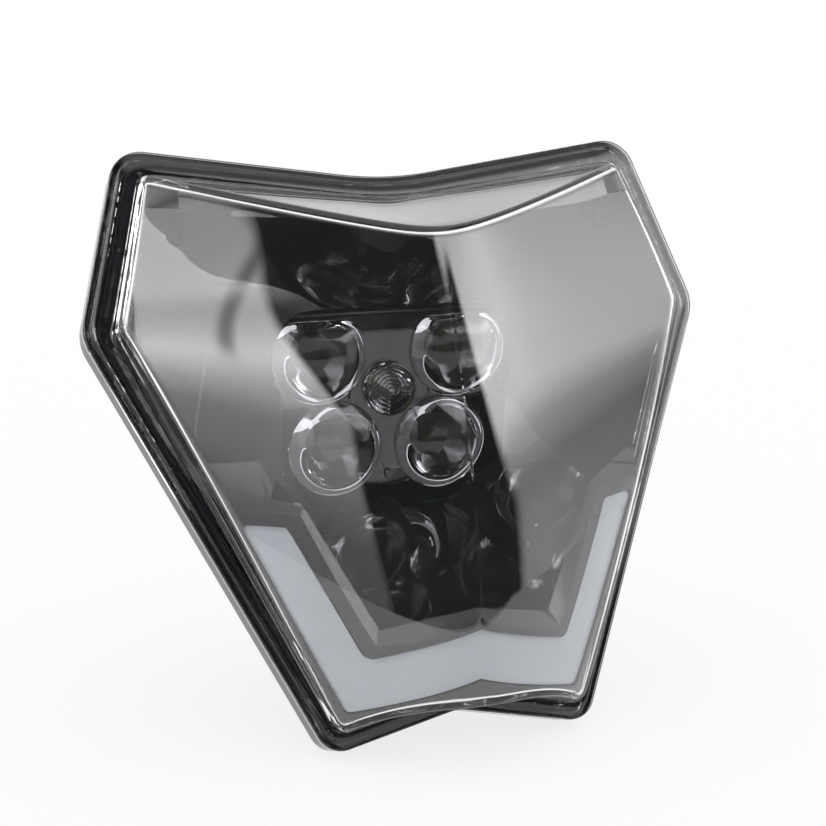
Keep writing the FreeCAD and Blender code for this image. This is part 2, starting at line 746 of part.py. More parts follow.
def collimator(x, z):
    """One clear collimator: a domed front, a bowl that narrows to the foot and a pocket for its emitter."""
    foot_y = board_face_y - led_high / 2.0
    dome_radius = (lens_radius ** 2 + lens_dome_high ** 2) / (2.0 * lens_dome_high)
    front_y = lens_rim_y - lens_dome_high
    half_way = lens_radius / 2.0
    front = Vec(half_way, front_y + dome_radius - math.sqrt(dome_radius ** 2 - half_way ** 2), 0)
    back_y = lens_rim_y + plate_thick
    bowl = Vec(lens_radius * bowl_radius_share, back_y + (foot_y - back_y) * bowl_depth_share, 0)
    pocket_y = foot_y - led_pocket_deep
    edges = [Part.Arc(Vec(0, front_y, 0), front, Vec(lens_radius, lens_rim_y, 0)).toShape(),
             Part.makeLine(Vec(lens_radius, lens_rim_y, 0), Vec(lens_radius, back_y, 0)),
             Part.Arc(Vec(lens_radius, back_y, 0), bowl, Vec(lens_foot_radius, foot_y, 0)).toShape(),
             Part.makeLine(Vec(lens_foot_radius, foot_y, 0), Vec(led_pocket_radius, foot_y, 0)),
             Part.makeLine(Vec(led_pocket_radius, foot_y, 0), Vec(led_pocket_radius, pocket_y, 0)),
             Part.makeLine(Vec(led_pocket_radius, pocket_y, 0), Vec(0, pocket_y, 0)),
             Part.makeLine(Vec(0, pocket_y, 0), Vec(0, front_y, 0))]
    body = Part.Face(Part.Wire(edges)).revolve(Vec(0, 0, 0), Vec(0, 1, 0), 360)
    return body.translated(Vec(x, 0, z))


def collimator_cluster():
    """The whole optic in one clear moulding, with ribs on its arms and rings round the middle lens."""
    plate_front = lens_rim_y
    plate_back = lens_rim_y + plate_thick
    body = [(upper_lens[0], plate_top_z, plate_round), (upper_lens[0] + plate_margin, 0.0, plate_round),
            (lower_lens[0] + lens_radius / 2.0, plate_low_z, plate_round),
            (0.0, pin_drop - plate_margin, plate_round)]
    plate = slab(mirrored(body), -plate_back, -plate_front, front_place)
    arms = slab(round_rect(2 * arm_half, arm_high, arm_round), -plate_back, -plate_front, front_place)
    lenses = [collimator(a * x, z) for x, z in (upper_lens, lower_lens) for a in (-1, 1)]
    middle = [along_y(ring_radius, 0.0, 0.0, ring_front_y, plate_back)]
    middle += [along_y(lens_foot_radius, a * optic_screw_x, 0.0, plate_back, board_face_y) for a in (-1, 1)]
    middle += [along_y(small_shank, 0.0, pin_drop, plate_front - PAST, board_face_y)]
    ribs = []
    for i in range(rib_count):
        x = ring_radius + rib_pitch * (i + 1)
        rib = box(x - rib_half, x + rib_half, plate_front - rib_high, plate_front, -rib_reach, rib_reach)
        ribs += [rib, rib.mirror(Vec(0, 0, 0), Vec(1, 0, 0))]
    whole = fused([plate, arms] + lenses + middle + ribs)
    flats = box(-FAR, FAR, 0.0, FAR, lens_flat_z, FAR)
    grooves = []
    for i in range(ring_count):
        radius = ring_radius * (i + 1) / (ring_count + 0.5)
        groove = along_y(radius, 0.0, 0.0, ring_front_y - PAST, ring_front_y + groove_deep)
        grooves.append(groove.cut(along_y(radius - groove_wide, 0.0, 0.0, 0.0, FAR)))
    holes = [along_y(small_shank, a * optic_screw_x, 0.0, 0.0, FAR) for a in (-1, 1)]
    pocket = [along_y(led_pocket_radius, 0.0, 0.0, plate_back - PAST, FAR)]
    return whole.cut([flats] + grooves + holes + pocket)


def optic_screws():
    long = pedestal_face_y - lens_rim_y + optic_screw_bite
    return Part.makeCompound([small_screw(long, a * optic_screw_x, lens_rim_y, 0.0) for a in (-1, 1)])


def led_board():
    """Metal-core board behind the optic."""
    board = slab(inset(sink_outline, board_inset), -pad_face_y, -board_face_y, front_place)
    return board.cut([along_y(small_shank, a * optic_screw_x, 0.0, 0.0, FAR) for a in (-1, 1)])


def emitter(x, z):
    half = led_size / 2.0
    return box(x - half, x + half, board_face_y - led_high, board_face_y, z - half, z + half)


def main_leds():
    return Part.makeCompound([emitter(a * x, z) for x, z in (upper_lens, lower_lens) for a in (-1, 1)])


def position_led():
    return emitter(0.0, 0.0)


def thermal_pad():
    pad = slab(inset(sink_outline, board_inset), -pedestal_face_y, -pad_face_y, front_place)
    return pad.cut([along_y(small_shank, a * optic_screw_x, 0.0, 0.0, FAR) for a in (-1, 1)])


def heat_sink():
    """Cast aluminium: a pedestal that fills the rear opening, a plate and upright fins behind it."""
    plate = slab(sink_outline, -sink_back_y, -sink_face_y, front_place)
    pedestal_edge = inset(sink_outline, sink_margin + pedestal_play)
    pedestal = slab(pedestal_edge, -sink_face_y, -pedestal_face_y, front_place)
    fins = []
    field = slab(inset(sink_outline, fin_inset), -sink_back_y - fin_high, -sink_back_y, front_place)
    half = sink_hip[0] - fin_inset - fin_gap_from_edge
    for i in range(fin_count):
        x = -half + 2.0 * half * i / (fin_count - 1)
        fins.append(field.common(box(x - fin_thick / 2.0, x + fin_thick / 2.0, 0.0, FAR, -FAR, FAR)))
    clear = [along_y(large_head + sink_screw_clear, x, z, sink_back_y, FAR) for x, z in sink_screws_at]
    whole = fused([plate, pedestal] + [fin.cut(clear) for fin in fins])
    holes = [along_y(large_shank, x, z, 0.0, FAR) for x, z in sink_screws_at]
    thread_end = pedestal_face_y + optic_screw_bite
    holes += [along_y(small_shank, a * optic_screw_x, 0.0, 0.0, thread_end) for a in (-1, 1)]
    return whole.cut(holes)


def heat_sink_gasket():
    band = slab(sink_outline, -sink_face_y, -rear_y, front_place)
    band = band.cut(slab(inset(sink_outline, sink_margin), -FAR, FAR, front_place))
    return band.cut([along_y(large_shank, x, z, 0.0, FAR) for x, z in sink_screws_at])


def heat_sink_screws():
    long = sink_back_y - rear_y + sink_screw_bite
    seats = [Vec(x, sink_back_y, z) for x, z in sink_screws_at]
    return Part.makeCompound([screw(large_shank, large_head, large_head_high, long, seat, FORWARD)
                              for seat in seats])


driver_back_y = wall_inner_y - driver_post
driver_face_y = driver_back_y - board_thick


def driver_board():
    """Circuit board that drives the emitters, on four posts of the rear wall."""
    edge = round_rect(driver_wide, driver_tall, driver_corner, driver_z)
    board = slab(edge, -driver_back_y, -driver_face_y, front_place)
    return board.cut([along_y(small_shank, x, z, 0.0, FAR) for x, z in driver_screws_at])


def driver_screws():
    return Part.makeCompound([small_screw(board_thick + board_screw_bite, x, driver_face_y, z)
                              for x, z in driver_screws_at])


def on_driver(x, up, wide, tall, high):
    """A block that stands on the driver board, its place measured from the board's middle."""
    low_z = driver_z + up - tall / 2.0
    return box(x - wide / 2.0, x + wide / 2.0, driver_face_y - high, driver_face_y, low_z, low_z + tall)


def inductor():
    """Shielded coil: a low square block with a round core."""
    block = on_driver(coil_x, 0.0, coil_side, coil_side, coil_high)
    groove = along_y(coil_groove, coil_x, driver_z, 0.0, driver_face_y - coil_high + coil_groove_deep)
    return block.cut(groove.cut(along_y(coil_core, coil_x, driver_z, 0.0, FAR)))


def capacitors():
    """Two electrolytic cans."""
    return Part.makeCompound([along_y(can_radius, x, driver_z, driver_face_y - can_high, driver_face_y)
                              for x in (can_x, can_x + can_step)])


def driver_chips():
    """A controller, a power switch and a column of small chips."""
    chips = [on_driver(a * chip_x, 0.0, chip_side, chip_side, chip_high) for a in (-1, 1)]
    for i in range(resistor_count):
        up = resistor_step * (i - (resistor_count - 1) / 2.0) - resistor_drop
        chips.append(on_driver(resistor_x, up, resistor_side, resistor_side, resistor_side / 2.0))
    return Part.makeCompound(chips)


def wire_header():
    """Open box header that the lamp's leads plug into."""
    shell = on_driver(0.0, header_up, header_wide, header_tall, header_high)
    hollow = on_driver(0.0, header_up, header_wide - 2 * header_wall, header_tall - 2 * header_wall, FAR)
    floor = on_driver(0.0, header_up, header_wide, header_tall, 2 * header_wall)
    pins = []
    for i in range(header_pins):
        x = header_pitch * (i - (header_pins - 1) / 2.0)
        pins.append(on_driver(x, header_up, header_wall, header_wall, header_high - header_wall))
    return fused([shell.cut(hollow), floor] + pins)


def along_gland(radius, start, end):
    return along_y(radius, gland_x, gland_z, start, end)


def cable_grommet():
    """Rubber bush for the supply cable, with a groove that grips the edge of its hole."""
    inner_y = wall_inner_y - boss_wall
    body = along_gland(gland_hole, inner_y - gland_lip, rear_y)
    lips = [along_gland(gland_hole + gland_lip, rear_y, rear_y + gland_lip),
            along_gland(gland_hole + gland_lip / 2.0, inner_y - gland_lip, inner_y)]
    start = Vec(gland_x, rear_y + gland_lip, gland_z)
    nose = Part.makeCone(gland_hole, gland_bore + gland_nose_wall, gland_nose, start, REARWARD)
    return fused([body] + lips + [nose]).cut(along_gland(gland_bore, 0.0, FAR))


def along_vent(radius, start, end):
    return along_y(radius, -gland_x, gland_z, start, end)


def breather_cap():
    """Press-in cap that lets the housing breathe through a crosswise slot."""
    stem = along_vent(vent_radius, wall_inner_y - vent_slot, rear_y)
    head = along_vent(vent_radius + vent_flange, rear_y, rear_y + vent_high)
    hollow = along_vent(vent_radius - vent_flange / 2.0, 0.0, rear_y + vent_high - vent_slot)
    slot = box(-gland_x - FAR, -gland_x + FAR, rear_y + vent_slot, rear_y + 2.0 * vent_slot,
               gland_z - vent_slot, gland_z + vent_slot)
    return fused([stem, head]).cut([hollow, slot])


def aim_sleeve():
    """Steel sleeve in the aiming lug."""
    tube = along_y(aim_bore + aim_sleeve_wall, 0.0, aim_z, aim_y - aim_length / 2.0, aim_y + aim_length / 2.0)
    return tube.cut(along_y(aim_bore, 0.0, aim_z, 0.0, FAR))


def pivot_insert(side):
    """Brass insert, tapped for the pivot screw."""
    start = side * (pivot_end_x - pivot_length)
    end = side * pivot_end_x
    tube = along_x(pivot_insert_radius, pivot_y, pivot_z, start, end)
    return tube.cut(along_x(pivot_bore, pivot_y, pivot_z, 0.0, side * FAR))


def left_pivot_insert():
    return pivot_insert(-1)


def right_pivot_insert():
    return pivot_insert(1)


PIECES = (outer_lens, lens_seal, rear_housing, inner_bezel, bezel_screws, drl_diffuser, drl_board, drl_leds,
          drl_board_screws, collimator_cluster, optic_screws, led_board, main_leds, position_led, thermal_pad,
          heat_sink, heat_sink_gasket, heat_sink_screws, driver_board, driver_screws, inductor, capacitors,
          driver_chips, wire_header, cable_grommet, breather_cap, aim_sleeve, left_pivot_insert,
          right_pivot_insert)


def main():
    os.makedirs("parts", exist_ok=True)
    for piece in PIECES:
        shape = piece()
        shape = shape.translated(Vec(0.0, -aim_y, -aim_z))
        shape.exportStep(os.path.join("parts", piece.__name__ + ".step"))
        print(piece.__name__, shape.isValid(), len(shape.Solids), round(shape.Volume))


main()
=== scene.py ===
# %% [markdown]
# A motorcycle headlight, seen from the front and a little from the left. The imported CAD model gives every
# piece at its real size and place. This lesson dresses it: the clear dome lens and the clear optic are made
# again as fine meshes, because clear plastic shows every facet, and each finish gets its own node material.

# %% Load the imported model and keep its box
import json
import math

import bmesh
import bpy
import numpy as np
from mathutils import Matrix, Vector


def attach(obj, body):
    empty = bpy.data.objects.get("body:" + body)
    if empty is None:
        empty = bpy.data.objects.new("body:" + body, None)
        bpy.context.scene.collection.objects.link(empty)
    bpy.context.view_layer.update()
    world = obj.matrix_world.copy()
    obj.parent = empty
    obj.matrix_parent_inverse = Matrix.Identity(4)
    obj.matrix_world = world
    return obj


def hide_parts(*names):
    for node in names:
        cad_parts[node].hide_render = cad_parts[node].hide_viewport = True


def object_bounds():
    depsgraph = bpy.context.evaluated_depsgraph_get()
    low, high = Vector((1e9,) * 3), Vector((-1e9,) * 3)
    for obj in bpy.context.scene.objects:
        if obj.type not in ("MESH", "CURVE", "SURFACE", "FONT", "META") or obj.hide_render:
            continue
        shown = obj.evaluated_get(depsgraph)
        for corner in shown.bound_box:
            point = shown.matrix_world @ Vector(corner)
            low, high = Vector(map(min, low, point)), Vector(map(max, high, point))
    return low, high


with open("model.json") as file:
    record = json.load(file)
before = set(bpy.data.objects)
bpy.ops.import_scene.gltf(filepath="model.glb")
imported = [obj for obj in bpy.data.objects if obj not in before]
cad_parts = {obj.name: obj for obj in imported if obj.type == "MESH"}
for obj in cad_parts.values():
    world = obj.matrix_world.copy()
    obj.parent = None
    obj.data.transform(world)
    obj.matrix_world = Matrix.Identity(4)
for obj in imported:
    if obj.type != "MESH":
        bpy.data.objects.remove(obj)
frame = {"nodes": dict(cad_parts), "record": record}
nodes = frame["nodes"]
size_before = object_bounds()
print("CAD box", [[round(c, 4) for c in corner] for corner in size_before])

# %% [markdown]
# The CAD model was drawn in millimetres about the optical axis and then moved to the aiming lug's hole. One
# helper turns such a place into Blender's metres, so that every size below can be read in millimetres.

# %% Places
MM = 0.001
AIM_Y = 34.0
AIM_Z = -84.0
RAKE = math.radians(24.6)


def place(x, y, z):
    """A point given in millimetres about the optical axis, in metres in the model's frame."""
    return Vector((x * MM, (y - AIM_Y) * MM, (z - AIM_Z) * MM))


def places(points):
    """The same for a whole array of points."""
    return (np.asarray(points, float) - np.array([0.0, AIM_Y, AIM_Z])) * MM


def smooth_mesh(name, points, faces, sharp=None):
    """A mesh that rides on the lamp, smooth but for edges sharper than the given angle in degrees."""
    mesh = bpy.data.meshes.new(name)
    mesh.from_pydata([tuple(p) for p in points], [], faces)
    mesh.validate()
    mesh.update()
    mesh.shade_smooth()
    if sharp is not None:
        mesh.set_sharp_from_angle(angle=math.radians(sharp))
    piece = bpy.data.objects.new(name, mesh)
    bpy.context.scene.collection.objects.link(piece)
    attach(piece, "root")
    return piece


# %% [markdown]
# The camera stands where the photograph was taken from: half a metre in front, to the left and a little
# above. Its axes were worked out from pairs of points that mirror each other across the lamp.

# %% Camera
PHOTO_PIXELS = 826.0
FOCAL_PIXELS = 1800.0
SENSOR_WIDTH = 36.0
CAMERA_PLACE = (-181.6, -506.2, 124.1)

camera_data = bpy.data.cameras.new("camera")
camera = bpy.data.objects.new("camera", camera_data)
bpy.context.scene.collection.objects.link(camera)
right = Vector((0.94245, -0.3343, 0.0059))
forward = Vector((0.32672, 0.91705, -0.22865)).normalized()
right = (right - forward * right.dot(forward)).normalized()
up = right.cross(forward)
turn = Matrix((right, up, -forward)).transposed()
camera.matrix_world = Matrix.Translation(place(*CAMERA_PLACE)) @ turn.to_4x4()
camera_data.sensor_width = SENSOR_WIDTH
camera_data.lens = SENSOR_WIDTH * FOCAL_PIXELS / PHOTO_PIXELS
camera_data.clip_start = 0.01
bpy.context.scene.camera = camera
print("camera", [round(c, 4) for c in camera.location], "lens", round(camera_data.lens, 2))

# %% [markdown]
# Shader maths reads best as plain expressions. A small class wraps a socket, and its + - * make Math nodes.

# %% A wrapper for sockets


class Value:
    """A number that changes over a surface."""

    def __init__(self, tree, socket):
        self.tree = tree
        self.socket = socket

    def _math(self, operation, other, swap=False):
        first, second = (other, self) if swap else (self, other)
        return self.tree.add("ShaderNodeMath", {"operation": operation}, {0: first, 1: second}).out(0)

    def __add__(self, other):
        return self._math("ADD", other)

    __radd__ = __add__

    def __sub__(self, other):
        return self._math("SUBTRACT", other)

    def __rsub__(self, other):
        return self._math("SUBTRACT", other, swap=True)

    def __mul__(self, other):
        return self._math("MULTIPLY", other)

    __rmul__ = __mul__

    def power(self, other):
        """This number raised to another."""
        return self._math("POWER", other)

    def largest(self, other):
        """The larger of two numbers."""
        return self._math("MAXIMUM", other)

    def between(self, start, end):
        """Rises softly from 0 at the start to 1 at the end; a start above the end makes it fall."""
        settings = {"interpolation_type": "SMOOTHSTEP"}
        if start < end:
            return self.tree.add("ShaderNodeMapRange", settings, {0: self, 1: start, 2: end}).out(0)
        return 1.0 - self.between(end, start)


class Added:
    """A node that was added, whose outputs are read by number or name."""

    def __init__(self, tree, node):
        self.tree = tree
        self.node = node

    def out(self, key):
        return Value(self.tree, self.node.outputs[key])


# %% [markdown]
# A tree holds the nodes of one material, or of the world. Its methods add a node of any kind, and the few
# nodes that most materials here use.

# %% Node trees


class Tree:
    """The nodes of a new material, or of a given world."""

    def __init__(self, name, world=None):
        self.owner = world or bpy.data.materials.new(name)
        self.owner.use_nodes = True
        self.nodes = self.owner.node_tree.nodes
        self.links = self.owner.node_tree.links
        self.nodes.clear()
        self.output = self.nodes.new("ShaderNodeOutputWorld" if world else "ShaderNodeOutputMaterial")

    def add(self, kind, settings=None, sockets=None):
        """A node of a type, its settings first, and then the values or links of its sockets."""
        node = self.nodes.new(kind)
        for key, value in (settings or {}).items():
            if key == "stops":
                ramp = node.color_ramp
                while len(ramp.elements) < len(value):
                    ramp.elements.new(0.5)
                for element, (position, colour) in zip(ramp.elements, value):
                    element.position = position
                    element.color = colour
            else:
                setattr(node, key, value)
        for key, value in (sockets or {}).items():
            if isinstance(value, Value):
                self.links.new(value.socket, node.inputs[key])
            else:
                node.inputs[key].default_value = value
        return Added(self, node)

    def principled(self, **sockets):
        """The main shader, its sockets named with underscores."""
        named = {key.replace("_", " "): value for key, value in sockets.items()}
        return self.add("ShaderNodeBsdfPrincipled", None, named).out("BSDF")

    def noise(self, scale, detail=2.0, roughness=0.5):
        """Noise in the lamp's own metres, from 0 to 1."""
        where = self.add("ShaderNodeTexCoord").out("Object")
        return self.add("ShaderNodeTexNoise", {"noise_dimensions": "3D"},
                        {"Vector": where, "Scale": scale, "Detail": detail, "Roughness": roughness}).out(0)

    def bump(self, height, distance):
        """A normal that follows a height, whose full range is a distance in metres."""
        return self.add("ShaderNodeBump", None, {"Height": height, "Distance": distance}).out("Normal")

    def finish(self, shader):
        """Links the shader to the output, and gives back the material."""
        self.links.new(shader.socket, self.output.inputs["Surface"])
        return self.owner


# The Mix node has a socket for every data type, so the three for colours go by their numbers.
COLOUR_A = 6
COLOUR_B = 7
COLOUR_OUT = 2


def mix_colour(tree, amount, first, second):
    """A colour between two, by an amount that changes over the surface."""
    sockets = {"Factor": amount, COLOUR_A: first, COLOUR_B: second}
    return tree.add("ShaderNodeMix", {"data_type": "RGBA"}, sockets).out(COLOUR_OUT)


# %% [markdown]
# The lens is clear polycarbonate: fully transmitting, with the high refractive index of that plastic, and a
# faint waviness from its mould. The optic's plastic is a little greyer.

# %% Clear plastics
RIPPLES = 38.0


def clear_plastic(name, index, tint, wave, rough):
    """A clear plastic with broad ripples, their height given in metres."""
    tree = Tree(name)
    normal = tree.bump(tree.noise(RIPPLES, 1.0), wave)
    shader = tree.principled(Base_Color=tint, Roughness=rough, IOR=index,
                             Transmission_Weight=1.0, Normal=normal)
    return tree.finish(shader)


lens_clear = clear_plastic("lens_clear", 1.585, (0.985, 0.99, 1.0, 1.0), 0.000006, 0.0)
optic_clear = clear_plastic("optic_clear", 1.53, (0.85, 0.85, 0.87, 1.0), 0.000004, 0.01)
print("clear plastics", lens_clear.name, optic_clear.name)

# %% [markdown]
# The housing and the bezel are both black mouldings. The bezel is polished almost to a mirror, and the
# housing has a little orange peel.

# %% Black mouldings


def black_moulding(name, colour, index, roughness, peel, scale):
    """A black plastic whose roughness runs between two values, with a peel in metres."""
    rough_low, rough_high = roughness
    tree = Tree(name)
    grain = tree.noise(scale, 1.0)
    shader = tree.principled(Base_Color=colour, Roughness=grain * (rough_high - rough_low) + rough_low,
                             IOR=index, Normal=tree.bump(grain, peel))
    return tree.finish(shader)


bezel_black = black_moulding("bezel_gloss", (0.012, 0.012, 0.014, 1.0), 1.65, (0.02, 0.035), 0.000002, 25.0)
housing_black = black_moulding("housing_black", (0.008, 0.009, 0.016, 1.0), 1.5, (0.05, 0.1), 0.00001, 700.0)
print("black mouldings", bezel_black.name, housing_black.name)

# %% [markdown]
# The light strip's cover is opal plastic of an even, cool white, and the emitters are yellow phosphor.

# %% Opal cover and emitters
tree = Tree("opal_cover")
cloud = mix_colour(tree, tree.noise(60.0), (0.7, 0.73, 0.78, 1.0), (0.76, 0.79, 0.83, 1.0))
opal = tree.finish(tree.principled(Base_Color=cloud, Roughness=0.35, IOR=1.5))
tree = Tree("phosphor")
speck = mix_colour(tree, tree.noise(2500.0), (0.85, 0.5, 0.03, 1.0), (0.9, 0.62, 0.08, 1.0))
phosphor = tree.finish(tree.principled(Base_Color=speck, Roughness=0.5))
print("strip and emitters", opal.name, phosphor.name)

# %% [markdown]
# The pieces inside and behind are metal, rubber and circuit boards. Each gets its colour and a fine grain.

# %% Metals, rubber and boards


def plain_finish(name, dark, light, rough, metallic, scale, depth):
    """A finish whose colour, roughness and bump all follow one fine grain."""
    tree = Tree(name)
    grain = tree.noise(scale, 4.0, 0.6)
    colour = mix_colour(tree, grain, (*dark, 1.0), (*light, 1.0))
    shader = tree.principled(Base_Color=colour, Metallic=metallic, Roughness=grain * 0.15 + rough,
                             Normal=tree.bump(grain, depth))
    return tree.finish(shader)


PLAIN_FINISHES = {
    "sealant": ("sealant", (0.01, 0.01, 0.012), (0.02, 0.02, 0.022), 0.55, 0.0, 500, 0.0001),
    "board": ("board_green", (0.01, 0.07, 0.03), (0.015, 0.1, 0.04), 0.3, 0.0, 900, 0.00001),
    "metal_board": ("board_dark", (0.02, 0.02, 0.02), (0.03, 0.03, 0.03), 0.3, 0.0, 700, 0.00001),
    "pad": ("soft_pad", (0.25, 0.3, 0.36), (0.3, 0.36, 0.42), 0.6, 0.0, 500, 0.00003),
    "cast_aluminium": ("cast_aluminium", (0.42, 0.43, 0.44), (0.55, 0.56, 0.57), 0.35, 1.0, 1400, 0.00005),
    "screws": ("zinc_plate", (0.48, 0.48, 0.47), (0.62, 0.62, 0.6), 0.22, 1.0, 1800, 0.00001),
    "components": ("moulded_black", (0.015, 0.015, 0.015), (0.03, 0.03, 0.03), 0.45, 0.0, 1500, 0.00001),
    "cans": ("drawn_can", (0.55, 0.55, 0.57), (0.65, 0.65, 0.67), 0.2, 1.0, 900, 0.00001),
    "header": ("moulded_cream", (0.65, 0.62, 0.5), (0.72, 0.69, 0.58), 0.4, 0.0, 900, 0.00001),
    "gasket": ("rubber_black", (0.012, 0.012, 0.012), (0.022, 0.022, 0.022), 0.5, 0.0, 900, 0.00005),
    "steel": ("steel_sleeve", (0.45, 0.45, 0.45), (0.6, 0.6, 0.6), 0.25, 1.0, 900, 0.00001),
    "brass": ("turned_brass", (0.65, 0.45, 0.16), (0.75, 0.55, 0.22), 0.22, 1.0, 900, 0.00001),
}
finishes = {slot: plain_finish(*row) for slot, row in PLAIN_FINISHES.items()}
finishes.update(housing=housing_black, bezel=bezel_black, opal=opal, led=phosphor,
                optic=optic_clear, clear_lens=lens_clear)
black_zinc = plain_finish("black_zinc", (0.012, 0.012, 0.013), (0.03, 0.03, 0.032),
                          0.3, 1.0, 1800, 0.00001)
# The main emitters' phosphor is painted near black: painted shade for the dark inside of their collimators.
phosphor_painted_dark = plain_finish("phosphor_painted_dark", (0.05, 0.04, 0.015), (0.08, 0.06, 0.02),
                              0.5, 0.0, 2500, 0.00001)
print(len(finishes), "finishes")

# %% [markdown]
# Every imported node takes the finish of its slot, but for the screws in front and the main emitters, whose
# phosphor is darkened to near black as painted shade. Its mesh comes in facets, so it is shaded smooth and
# keeps only its real edges sharp.

# %% Dress the imported nodes
REAL_EDGE = math.radians(28.0)
slot_of = {row["node"]: row["material_slot"] for row in frame["record"]["subparts"]}
own_finish = {"bezel_screws": black_zinc, "optic_screws": black_zinc, "main_leds": phosphor_painted_dark}
for name, node in nodes.items():
    node.data.materials.clear()
    node.data.materials.append(own_finish.get(name, finishes[slot_of[name]]))
    node.data.shade_smooth()
    node.data.set_sharp_from_angle(angle=REAL_EDGE)
print("dressed", len(nodes), "nodes")

# %% [markdown]
# The lens is made again as one closed mesh. Its outlines are rounded polygons in the raked plane of the rim.
# Each is given by the corners of its right half, as (x, distance up the plane, radius).

# %% Outlines in the rim's plane
SMALLEST_RADIUS = 0.6
RIM = ((0.0, 73.0, 100.0), (84.0, 85.3, 10.0), (100.0, 28.0, 14.0), (41.0, -101.3, 8.0), (0.0, -92.5, 12.0))
DOME = ((0.0, 66.3, 106.0), (78.2, 77.0, 5.0), (91.6, 27.0, 9.0), (38.9, -96.2, 5.0), (0.0, -86.0, 10.0))


def mirrored(half):
    """The whole outline, from the corners of its right half."""
    return list(half) + [(-x, s, r) for x, s, r in reversed(half) if x > 0]


def inset(corners, distance):
    """Moves every side of an outline inwards, its corners' radii with it."""
    points = np.array([(c[0], c[1]) for c in corners])
    moved = []
    for i, (x, s, radius) in enumerate(corners):
        before = points[i] - points[i - 1]
        after = points[(i + 1) % len(points)] - points[i]
        before /= np.linalg.norm(before)
        after /= np.linalg.norm(after)
        inward = np.array([before[1], -before[0]]) + np.array([after[1], -after[0]])
        inward /= 1.0 + before.dot(after)
        convex = before[0] * after[1] - before[1] * after[0] < 0
        new_radius = radius - distance if convex else radius + distance
        moved.append((x + inward[0] * distance, s + inward[1] * distance, max(new_radius, SMALLEST_RADIUS)))
    return moved


def trace(corners, arc_steps=40, spacing=0.5):
    """Points all round an outline, its corners rounded by tangent arcs."""
    points = np.array([(c[0], c[1]) for c in corners])
    runs = []
    for i, corner in enumerate(corners):
        here = points[i]
        before = points[i - 1] - here
        after = points[(i + 1) % len(points)] - here
        before /= np.linalg.norm(before)
        after /= np.linalg.norm(after)
        half = math.acos(np.clip(before.dot(after), -1, 1)) / 2.0
        middle = (before + after) / np.linalg.norm(before + after)
        centre = here + middle * corner[2] / math.sin(half)
        start = here + before * corner[2] / math.tan(half) - centre
        end = here + after * corner[2] / math.tan(half) - centre
        a = math.atan2(start[1], start[0])
        b = math.atan2(end[1], end[0])
        swing = (b - a + math.pi) % (2 * math.pi) - math.pi
        sweep = a + swing * np.linspace(0, 1, arc_steps)
        runs.append(centre + corner[2] * np.stack([np.cos(sweep), np.sin(sweep)], 1))
    around = []
    for i, run in enumerate(runs):
        around.append(run)
        gap = runs[(i + 1) % len(runs)][0] - run[-1]
        count = max(int(np.linalg.norm(gap) / spacing), 1)
        around.append(run[-1] + gap * np.linspace(0, 1, count + 1)[1:-1, None])
    return np.concatenate(around)


def reach_at(corners, angles):
    """How far an outline lies from the middle, in each direction."""
    around = trace(corners)
    bearing = np.arctan2(around[:, 1], around[:, 0])
    order = np.argsort(bearing)
    far = np.hypot(around[:, 0], around[:, 1])[order]
    return np.interp(angles, bearing[order], far, period=2 * math.pi)


rim_corners = mirrored(RIM)
dome_corners = mirrored(DOME)
rim_trace = trace(rim_corners, arc_steps=14, spacing=1.7)
angles = np.sort(np.arctan2(rim_trace[:, 1], rim_trace[:, 0]))
print("directions round the rim", len(angles))

# %% [markdown]
# The face is two nearly flat wings that meet in a rounded keel, and the brow is a shelf above it. Both are
# polynomials whose coefficients were fitted to the photograph's keel, brow and reflections.

# %% Face and brow
KEEL_TOP = 57.0
KEEL_HEIGHT = 115.0
KEEL_ROUNDING = 12.0
FACE_WIDTH = 85.0
FACE_SWELL = 1.5
BROW_HEIGHT = 57.6
BROW_ROUNDING = 10.0


def rounded_v(x, rounding):
    """The distance from the middle, with the point of the V rounded."""
    return np.sqrt(x * x + rounding * rounding) - rounding


def face_y(x, z):
    """How far back the face lies: the keel's curve, the wings' slope and bow, and a slight swell."""
    fall = (z - KEEL_TOP) / KEEL_HEIGHT
    keel = -19.1 + 64.2 * fall + 25.0 * fall * fall
    level = z / 70.0
    slope = 0.486 + 0.1145 * level
    bow = -0.00019 - 0.0022 * level + 0.00195 * level * level
    across = 2.0 * np.abs(x) / FACE_WIDTH - 1.0
    swell = FACE_SWELL * np.clip(1.0 - across * across, 0.0, 1.0)
    return keel + slope * rounded_v(x, KEEL_ROUNDING) + bow * x * x - swell


def brow_z(x, y):
    """How high the brow lies: a shallow V that rises to the back."""
    return BROW_HEIGHT + 0.1154 * rounded_v(x, BROW_ROUNDING) + 0.114 * (y + 16.3)


print("keel at the axis", round(float(face_y(0.0, 0.0)), 2))
print("brow at the middle", round(float(brow_z(0.0, 0.0)), 2))

# %% [markdown]
# Every point of the dome is found along a ray from the middle of the rim's plane: a smooth maximum of the
# side wall, the face and the brow says where the ray leaves the plastic, and rounds the edges between them.
# The inner surface is found in the same way, one wall further in.

# %% Dome
DRAFT = 4.0
REACH = 52.0
CHIN_DROP = 22.0
LEDGE_HEIGHT = 5.9
LEDGE_RISE = 0.6
FACE_SLANT = 1.15
FARTHEST = 170.0
HALVINGS = 34


def soft_max(a, b, blend):
    """The larger of two numbers, rounded where they are less than the blend apart."""
    near = np.maximum(blend - np.abs(a - b), 0.0) / blend
    return np.maximum(a, b) + near * near * blend / 4.0


